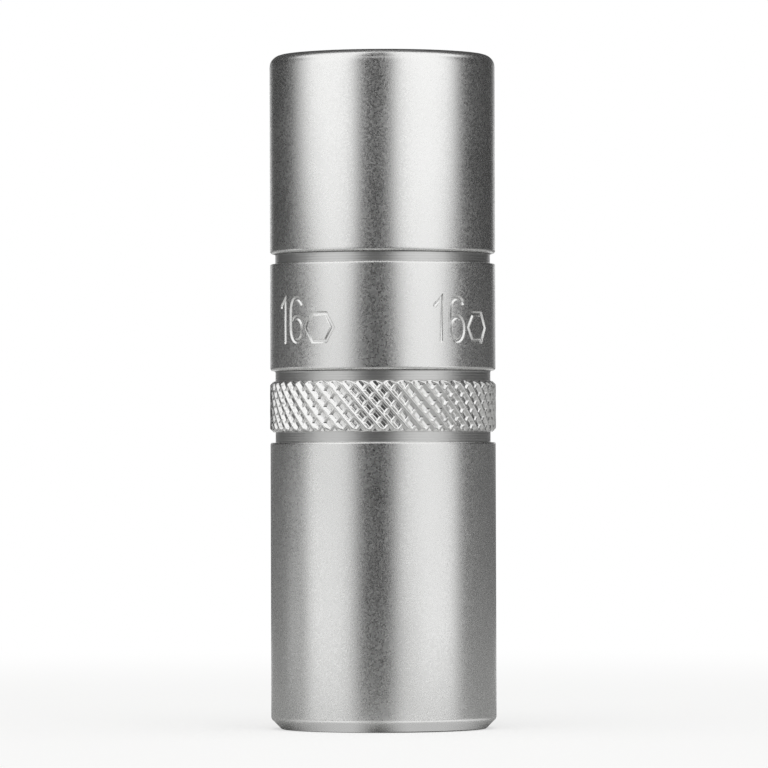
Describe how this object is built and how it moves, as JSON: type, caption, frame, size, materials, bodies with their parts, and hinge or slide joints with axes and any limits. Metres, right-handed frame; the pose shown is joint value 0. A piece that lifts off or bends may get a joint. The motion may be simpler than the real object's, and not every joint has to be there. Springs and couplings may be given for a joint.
{
  "type": "spark plug socket",
  "caption": "Deep round spark plug socket with a hexagon mouth, a rubber insert that holds the plug, a knurled grip band between turned grooves, and a square drive at the other end.",
  "frame": {"origin": "middle of the drive end's flat face, on the socket's axis", "axes": "+Z along the axis from the drive end to the hexagon mouth; two of the hexagon's corners lie on the X axis and the drive square's flats face X and Y"},
  "size_m": [0.0218, 0.0218, 0.065],
  "materials": {
    "chrome_plate": "satin chrome plate, bead blasted before plating, over forged and turned steel",
    "insert_rubber": "moulded black rubber, matt"
  },
  "bodies": {
    "root": {"socket_body": "chrome_plate", "rubber_insert": "insert_rubber"}
  },
  "joints": []
}
